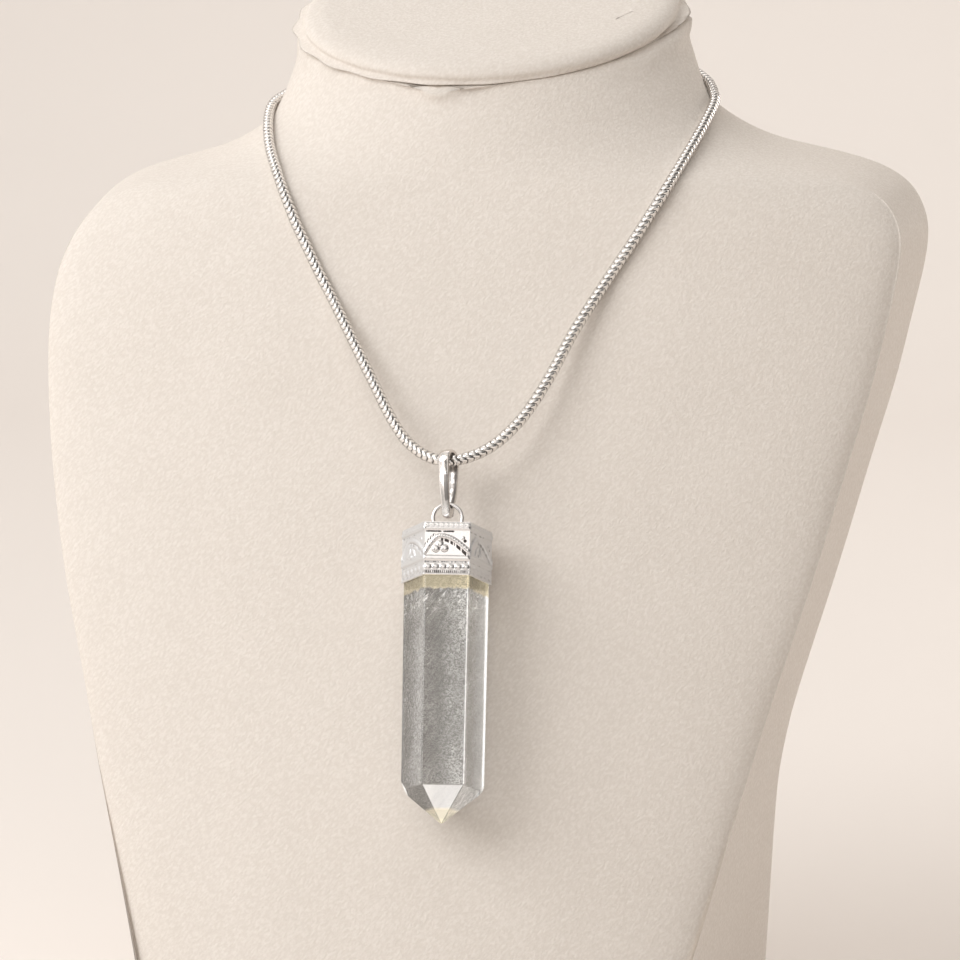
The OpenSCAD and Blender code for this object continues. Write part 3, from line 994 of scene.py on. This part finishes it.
def relief_face(k, across, down):
    """One face's grid, turned to its side of the cap: its points, and how dark each of them is."""
    height, dark = face_relief(across, down, leafy=k % 2 == 1)
    corner = unit((np.abs(across) - (face_width / 2 - corner_soft)) / corner_soft)
    edge_height = corner_share * (height[:, :1] + height[:, -1:])
    height = height * (1 - corner) + edge_height * corner
    x = across + np.sign(across) * height * math.tan(math.pi / 6) * corner
    y = -(apothem + height)
    turn = math.radians(60 * k)
    turned_x = x * math.cos(turn) - y * math.sin(turn)
    turned_y = x * math.sin(turn) + y * math.cos(turn)
    places = np.stack((turned_x, turned_y, cap_top_z - down), axis=-1)
    return places.reshape(-1, 3).tolist(), dark.ravel().tolist()


def cast_cap():
    """Six relief faces, the top plate, the foot edge and the inner wall, as one closed mesh."""
    columns = int(round(face_width / grid_step)) + 1
    rows = int(round(cap_height / grid_step)) + 1
    across, down = np.meshgrid(np.linspace(-face_width / 2, face_width / 2, columns),
                               np.linspace(0, cap_height, rows))
    points, hollows, satins, faces = [], [], [], []
    for k in range(6):
        faces += row_faces(rows, columns, closed=False, first=len(points))
        face_points, darkness = relief_face(k, across, down)
        points += face_points
        hollows += darkness
        satins += [float(k % 2)] * len(darkness)
    outer = len(points)
    top_ring = [k * rows * columns + c for k in range(6) for c in range(columns - 1)]
    foot_ring = [v + (rows - 1) * columns for v in top_ring]
    inner_corner = (apothem - cap_wall) / math.cos(math.pi / 6)
    for z in (cap_top_z - cap_height, cap_top_z - cap_plate):
        for k in range(6):
            a, b = math.radians(60 * k - 120), math.radians(60 * k - 60)
            for s in (c / (columns - 1) for c in range(columns - 1)):
                points.append((inner_corner * ((1 - s) * math.cos(a) + s * math.cos(b)),
                               inner_corner * ((1 - s) * math.sin(a) + s * math.sin(b)), z))
    count = len(top_ring)
    for i in range(count):
        j = (i + 1) % count
        faces.append((foot_ring[i], foot_ring[j], outer + j, outer + i))
        faces.append((outer + i, outer + j, outer + count + j, outer + count + i))
    plate_pole = len(points)
    for i in range(count):
        j = (i + 1) % count
        faces.append((top_ring[i], top_ring[j], plate_pole))
        faces.append((outer + count + i, outer + count + j, plate_pole + 1))
    points += [(0, 0, cap_top_z), (0, 0, cap_top_z - cap_plate)]
    hollows += [unseen_dark] * (2 * count) + [0.0, unseen_dark]
    return points, faces, hollows, satins


wire_ring_z, wire_radius, wire_ring_radius = -14.0, 0.5, 3.4
wire_steps, wire_sides = 96, 20
solder_swell, solder_rise, solder_reach, solder_dark = 0.22, 0.35, 0.75, 0.8


def soldered_ring():
    """The wire ring on the cap, whose foot goes into the top plate, with its fillets of solder."""
    points, hollows = [], []
    for i in range(wire_steps):
        a = 2 * math.pi * i / wire_steps
        above_cap = wire_ring_z + wire_ring_radius * math.sin(a) + wire_radius - cap_top_z
        solder = max(0.0, 1 - abs(above_cap - solder_rise) / solder_reach) if math.sin(a) < 0 else 0.0
        thick = wire_radius + solder_swell * solder
        for c in range(wire_sides):
            b = 2 * math.pi * c / wire_sides
            r = wire_ring_radius + thick * math.cos(b)
            points.append((r * math.cos(a), thick * math.sin(b), wire_ring_z + r * math.sin(a)))
            hollows.append(solder_dark if solder > 0 else 0.0)
    return points, row_faces(wire_steps, wire_sides, looped=True), hollows


sharp_angle = math.radians(42)


def cap_piece():
    """The cap and its ring as one mesh, with the relief's seams closed."""
    points, faces, hollows, satins = cast_cap()
    ring_points, ring_faces, ring_hollows = soldered_ring()
    base = len(points)
    points += ring_points
    hollows += ring_hollows
    faces += [tuple(base + v for v in face) for face in ring_faces]
    piece = new_piece("cast_cap", [hung(*p) for p in points], faces)
    add_values(piece, "hollow", hollows)
    add_values(piece, "satin", satins + [0.0] * (len(points) - len(satins)))
    mesh = piece.data
    bm = bmesh.new()
    bm.from_mesh(mesh)
    bmesh.ops.remove_doubles(bm, verts=bm.verts, dist=0.002 * MM)
    bmesh.ops.recalc_face_normals(bm, faces=bm.faces)
    print("open edges on the cap:", sum(len(e.link_faces) != 2 for e in bm.edges))
    bm.to_mesh(mesh)
    bm.free()
    mesh.set_sharp_from_angle(angle=sharp_angle)
    return piece


finish_piece(cap_piece(), "drop", "cap", cap_silver)

# %% [markdown]
# ## The quartz point
# A lapidary grinds a quartz point flat by flat, and the same can be done to a
# mesh: a block is cut by one plane after another. Six long planes make the
# shaft, six make the point, and two small planes take off the corners that are
# chipped at its shoulder. The edges are then broken with a narrow bevel, which
# is what catches the light; the bevels on the right half of the shaft are also
# given a painted highlight, pale enough to glow.

# %% Cut the crystal
stone_top_z = cap_top_z - 1.5
shaft_start_z = cap_top_z - cap_height
shoulder_z = shaft_start_z - 48.9
tip_z = shoulder_z - 7.8
shaft_radius_top, shaft_radius_foot = 10.0, 9.6
block_width, block_spare = 30, 2
tip_across, tip_back = -0.15, 0.1
edge_break, edge_angle = 0.17, math.radians(12)
# How pale each side of the shaft and each facet of the point looks, from the
# back right one round to the front right: the sides behind are clear, so that
# they pass the light, and the facet in front is frosted white; the front and
# front right facets of the point are also pale enough to glow with painted light
shaft_pale = (0.80, 0.85, 0.80, 0.10, 0.0, 0.20)
point_pale = (0.80, 0.85, 0.80, 0.36, 0.97, 0.93)
# Broken edges are pale; those on the right half of the shaft get a painted highlight
edge_pale, painted_highlight_edge_pale = 0.4, 1.0
# The two chipped corners at the shoulder: corner, place from it, the way the
# chip faces, and how pale it is; both are pale enough to glow with painted light
chips = (
    (3, (0.12, 0.0, 1.8), (-0.89, -0.05, -0.45), 1.0),
    (0, (-0.25, 0.0, 0.6), (0.83, -0.2, -0.5), 0.9),
)
stone_middle = Vector((0, 0, shoulder_z))


def cut(bm, point, normal, pale=0.0):
    """Takes off all that lies past a plane, closes the cut and notes how pale the new face is."""
    result = bmesh.ops.bisect_plane(
        bm, geom=bm.verts[:] + bm.edges[:] + bm.faces[:], plane_co=point, plane_no=normal, clear_outer=True
    )
    edges = [e for e in result["geom_cut"] if isinstance(e, bmesh.types.BMEdge)]
    pale_layer = bm.faces.layers.float["pale"]
    for face in bmesh.ops.holes_fill(bm, edges=edges, sides=0)["faces"]:
        face[pale_layer] = pale


def plane_of(a, b, c):
    """A plane through three points, as a point and a normal that looks away from the stone's inside."""
    normal = (b - a).cross(c - a).normalized()
    return a, -normal if normal.dot(a - stone_middle) < 0 else normal


def corner(k, radius, z):
    """Corner number k of the hexagon at a height."""
    return Vector((radius * math.cos(math.radians(60 * k)), radius * math.sin(math.radians(60 * k)), z))


def cut_crystal():
    """The stone, cut flat by flat from a block, with its edges broken."""
    bm = bmesh.new()
    bmesh.ops.create_cube(bm, size=1.0)
    pale_layer = bm.faces.layers.float.new("pale")
    length = stone_top_z - tip_z + 2 * block_spare
    bmesh.ops.scale(bm, vec=(block_width, block_width, length), verts=bm.verts)
    bmesh.ops.translate(bm, vec=(0, 0, tip_z - block_spare + length / 2), verts=bm.verts)
    cut(bm, Vector((0, 0, stone_top_z)), Vector((0, 0, 1)))
    top = shaft_radius_top, shaft_start_z
    foot = shaft_radius_foot, shoulder_z
    for k in range(6):
        cut(bm, *plane_of(corner(k, *top), corner(k + 1, *top), corner(k, *foot)), pale=shaft_pale[k])
    tip = Vector((tip_across, tip_back, tip_z))
    for k in range(6):
        cut(bm, *plane_of(corner(k, *foot), corner(k + 1, *foot), tip), pale=point_pale[k])
    for k, place, facing, pale in chips:
        cut(bm, corner(k, *foot) + Vector(place), Vector(facing), pale=pale)
    bmesh.ops.remove_doubles(bm, verts=bm.verts, dist=0.01)
    bmesh.ops.dissolve_degenerate(bm, edges=bm.edges, dist=0.01)
    corners = [e for e in bm.edges if e.calc_face_angle(0) > edge_angle]
    broken = bmesh.ops.bevel(
        bm, geom=corners, offset=edge_break, segments=1, affect="EDGES", clamp_overlap=True
    )
    for face in broken["faces"]:
        middle = face.calc_center_median()
        # Painted highlight on the bevels of the shaft's right half
        gets_painted_highlight = middle.x > 0 and middle.z > shoulder_z + 1
        face[pale_layer] = painted_highlight_edge_pale if gets_painted_highlight else edge_pale
    for vertex in bm.verts:
        vertex.co = hung(*vertex.co)
    bmesh.ops.recalc_face_normals(bm, faces=bm.faces)
    mesh = bpy.data.meshes.new("quartz_point")
    bm.to_mesh(mesh)
    bm.free()
    return new_object("quartz_point", mesh)


crystal = cut_crystal()
for label, axis in (("along", axis_up), ("sideways", axis_right), ("backwards", axis_back)):
    add_values(crystal, label, [(v.co - hang_point).dot(axis) / MM for v in crystal.data.vertices])
print("facets and broken edges:", len(crystal.data.polygons))

# %% [markdown]
# ## The quartz
# Clear quartz bends light, and this one is sanded on its long faces, so it
# looks grey and soft rather than like a window. A yellow ring of glue shows
# under the cap and at the tip, and pale veils run down from the cap. All of
# it is measured along the stone's own axes, which the mesh stores, and each
# broken edge and facet also stores how pale it is.


# %% Define what shows in the stone
# Places are in millimetres on the stone's own axes, as the mesh stores them
glue_reach, glue_waver, glue_soft = 3.0, 1.8, 0.35
veil_slant, stroke_slant = math.radians(-38), math.radians(-30)
# Two greys of the stone: the darker one is painted shade on the left, the paler one painted light towards the
# front's right
smoke_in_painted_shade, smoke_in_painted_light = (0.150, 0.150, 0.144, 1.0), (0.38, 0.385, 0.375, 1.0)
frost, amber, unlit = (1.0, 1.0, 1.0, 1.0), (0.95, 0.83, 0.57, 1.0), (0.0, 0.0, 0.0, 1.0)


def glue_masks(tree, along, backwards, place):
    """The glue round the cap's foot, with its uneven lower edge in front, and its trace at the tip."""
    ragged = noise(tree, stretched(tree, place, (1.0, 1.0, 0.6)), 0.6, 3.0)
    wavering = plus(tree, along, times(tree, ragged, glue_waver))
    level = shaft_start_z - glue_reach + glue_waver / 2
    glue = range_node(tree, wavering, level - glue_soft, level + glue_soft)
    glue = times(tree, glue, range_node(tree, backwards, -0.5, 0.5, 1.0, 0.0))
    return glue, range_node(tree, along, tip_z + 2.8, tip_z + 3.6, 0.7, 0.0)


def pale_stripes(tree, sideways):
    """Paler stripes of painted light: towards the front left edge, and towards the right edge and its rim."""
    left_stripe = times(tree, range_node(tree, sideways, -9.0, -5.2, 0.0, 0.27),
                        range_node(tree, sideways, -5.15, -4.95, 1.0, 0.0))
    right_side = range_node(tree, sideways, 5.6, 9.2, 0.0, 0.50)
    right_rim = range_node(tree, sideways, 8.8, 9.4, 0.0, 0.6)
    return plus(tree, plus(tree, left_stripe, right_side), right_rim)


def slanting_veils(tree, along, place, glue):
    """Veils that lie aslant near the cap, and a few lower down; they leave the glue plain."""
    slanted = turned_about_y(tree, place, veil_slant)
    veils = noise(tree, stretched(tree, slanted, (1.6, 1.0, 0.42)), 0.8, 7.0, Roughness=0.75, Distortion=0.9)
    near_cap = range_node(tree, along, shaft_start_z - 12.0, shaft_start_z - 5.0, 0.0, 0.13)
    veil = range_node(tree, plus(tree, veils, near_cap), 0.635, 0.745)
    return times(tree, veil, range_node(tree, glue, 0.0, 1.0, 0.85, 0.1))


def speckled_skin(tree, sideways, place, pebbles):
    """A pebbled skin, uneven in clouds; its paleness on the right half of the front is painted light."""
    cloud = noise(tree, stretched(tree, place, (1.0, 1.0, 0.5)), 0.28, 3.0)
    speckle = range_node(tree, pebbles, 0.43, 0.58)
    for share in (range_node(tree, sideways, -1.5, 3.5, 0.36, 1.0),
                  range_node(tree, cloud, 0.3, 0.7, 0.55, 1.3),
                  range_node(tree, sideways, 5.0, 5.5, 1.0, 0.4)):
        speckle = times(tree, speckle, share)
    return speckle


print("the glue reaches", glue_reach, "mm below the cap")


# %% Build the quartz
def build_quartz():
    """Clear stone with a sanded skin, whose pale places glow with painted light that stands for the light
    they gather.
    """
    material, tree, surface = new_material("sanded_quartz")
    along, sideways, backwards = (attribute(tree, name) for name in ("along", "sideways", "backwards"))
    place = add_node(tree, "ShaderNodeCombineXYZ",
                     {"X": sideways, "Y": backwards, "Z": along}).outputs["Vector"]
    shaft_only = range_node(tree, along, shoulder_z - 0.3, shoulder_z + 0.3)

    glue, glue_tip = glue_masks(tree, along, backwards, place)
    stripes = times(tree, pale_stripes(tree, sideways), shaft_only)
    veil = slanting_veils(tree, along, place, glue)
    slanted = turned_about_y(tree, place, stroke_slant)
    strokes = noise(tree, stretched(tree, slanted, (3.4, 3.4, 0.12)), 1.0, 3.0)
    pebbles = noise(tree, stretched(tree, place, (1.0, 1.0, 1.25)), 2.4, 2.0, Distortion=1.2)
    speckle = speckled_skin(tree, sideways, place, pebbles)
    stroked = times(tree, range_node(tree, strokes, 0.45, 0.65),
                    range_node(tree, sideways, -5.2, -4.4, 0.24, 0.06))
    grain = times(tree, plus(tree, stroked, times(tree, speckle, 0.62)), shaft_only)

    # How pale it is: the broken edges and facets less their streaks, or the skin
    facets = attribute(tree, "pale")
    streaks = times(tree, range_node(tree, strokes, 0.42, 0.62),
                    range_node(tree, facets, 0.95, 0.96, 0.4, 0.0))
    facets = math_node(tree, "SUBTRACT", facets, streaks)
    paleness = math_node(tree, "MAXIMUM", facets, plus(tree, stripes, grain))
    paleness = math_node(tree, "MAXIMUM", paleness, veil, clamp=True)
    # Painted light: paler towards the right of the front, darker again on the right side
    painted_light_across = times(tree, range_node(tree, sideways, -5.0, 2.5),
                    range_node(tree, sideways, 5.0, 5.6, 1.0, 0.45))
    color = color_mix(tree, paleness, color_mix(tree, painted_light_across, smoke_in_painted_shade, smoke_in_painted_light), frost)
    color = color_mix(tree, math_node(tree, "MAXIMUM", glue, glue_tip), color, amber)

    # Painted light: a glow at the frosted places, which stands for light that the stone gathers and lets out
    # again there
    in_front = range_node(tree, backwards, -8.2, -7.7, 1.0, 0.0)
    glue_front = times(tree, glue, range_node(tree, in_front, 0.0, 1.0, 0.12, 1.0))
    painted_glow = range_node(tree, facets, 0.86, 1.0, 0.0, 0.40)
    for part, share in ((stripes, 0.26), (veil, 0.30), (glue_front, 0.24), (glue_tip, 0.30), (grain, 0.34)):
        painted_glow = plus(tree, painted_glow, times(tree, part, share))
    bump_into(tree, surface, plus(tree, times(tree, speckle, 0.8), strokes), 0.12, 0.05 * MM)
    set_sockets(surface, {
        "Base Color": color,
        "Emission Color": color_mix(tree, painted_glow, unlit, color),
        "Emission Strength": 1.0,
        "Roughness": range_node(tree, pebbles, 0.3, 0.7, 0.10, 0.22),
        "IOR": 1.54,
        "Transmission Weight": 0.8,
    })
    return material


finish_piece(crystal, "drop", "crystal", build_quartz())

# %% [markdown]
# ## Floor, backdrop and light
# The bust stands on a plain pale surface that curves up behind it, so that no
# horizon shows. One broad soft light from the upper left gives the form its
# shading, a weaker one on the right fills the shadows, and a third washes the
# paper behind. The silver needs something dark to mirror as well, so the room
# round the camera is dimmer.

# %% Lay the floor and set the lights
floor_back, sweep_bend, sweep_half_width = 1.3, 0.5, 2.4
wall_back = floor_back + sweep_bend
sweep_profile = [(-1.6, 0.0), (-0.6, 0.0), (0.6, 0.0), (floor_back, 0.0)]
sweep_profile += [(floor_back + sweep_bend * math.sin(a), sweep_bend * (1 - math.cos(a)))
                  for a in (math.radians(15 * i) for i in range(1, 7))]
sweep_profile += [(wall_back, 1.4), (wall_back, 2.6)]
sweep_points = [(x, y, z) for y, z in sweep_profile for x in (-sweep_half_width, sweep_half_width)]
backdrop = new_piece("paper_sweep", sweep_points, row_faces(len(sweep_profile), 2, closed=False))
paper, _, paper_surface = new_material("warm_paper")
set_sockets(paper_surface, {"Base Color": (0.86, 0.81, 0.77, 1.0), "Roughness": 0.9})
backdrop.data.materials.append(paper)


def soft_light(name, place, target, size, power, color):
    """A square soft light that looks from its place to a target."""
    data = bpy.data.lights.new(name, "AREA")
    data.shape = "SQUARE"
    data.size = size
    data.energy = power
    data.color = color
    aim = (Vector(target) - Vector(place)).to_track_quat("-Z", "Y").to_matrix().to_4x4()
    new_object(name, data).matrix_world = Matrix.Translation(place) @ aim


soft_light("key", (-0.60, -0.45, 0.76), (0, 0, 0.20), 0.69, 4.65, (1.0, 1.0, 1.0))
soft_light("side", (1.1, 0.75, 0.5), (0, 0, 0.16), 0.6, 3.6, (1.0, 0.94, 0.88))
soft_light("back_wash", (-0.3, 0.9, 1.5), (0, 1.8, 0.5), 1.2, 5.0, (1.0, 0.99, 0.98))

# %% Light the room
# The ways that look at the window, at a dim corner on the right and at the
# viewer, who is dark too
window_way, dim_corner_way, viewer_way = (0.19, -0.75, 0.63), (0.93, -0.36, 0.05), (-0.22, -0.83, 0.51)
warm_white = (1.0, 0.957, 0.91, 1.0)


def light_room():
    """A warm, unevenly lit room with one soft window in front, above the viewer."""
    world = bpy.data.worlds.new("room")
    world.use_nodes = True
    tree = world.node_tree
    direction = tree.nodes.new("ShaderNodeTexCoord").outputs["Generated"]

    def toward(aim):
        """How straight a direction looks at an aim."""
        return add_node(tree, "ShaderNodeVectorMath", {0: direction, 1: aim},
                        operation="DOT_PRODUCT").outputs["Value"]

    window = range_node(tree, toward(window_way), 0.86, 0.95, 0.0, 0.55)
    dim_corner = range_node(tree, toward(dim_corner_way), 0.55, 0.93, 1.0, 0.25)
    viewer = range_node(tree, toward(viewer_way), 0.955, 0.985, 1.0, 0.15)
    walls = range_node(tree, noise(tree, direction, 2.2, 1.0), 0.38, 0.62, 0.48, 1.04)
    across = add_node(tree, "ShaderNodeSeparateXYZ", {"Vector": direction}).outputs["X"]
    walls = times(tree, walls, range_node(tree, across, -1.0, 1.0, 1.2, 0.5))
    walls = times(tree, times(tree, walls, dim_corner), viewer)
    set_sockets(tree.nodes["Background"], {"Color": warm_white, "Strength": plus(tree, walls, window)})
    bpy.context.scene.world = world


light_room()
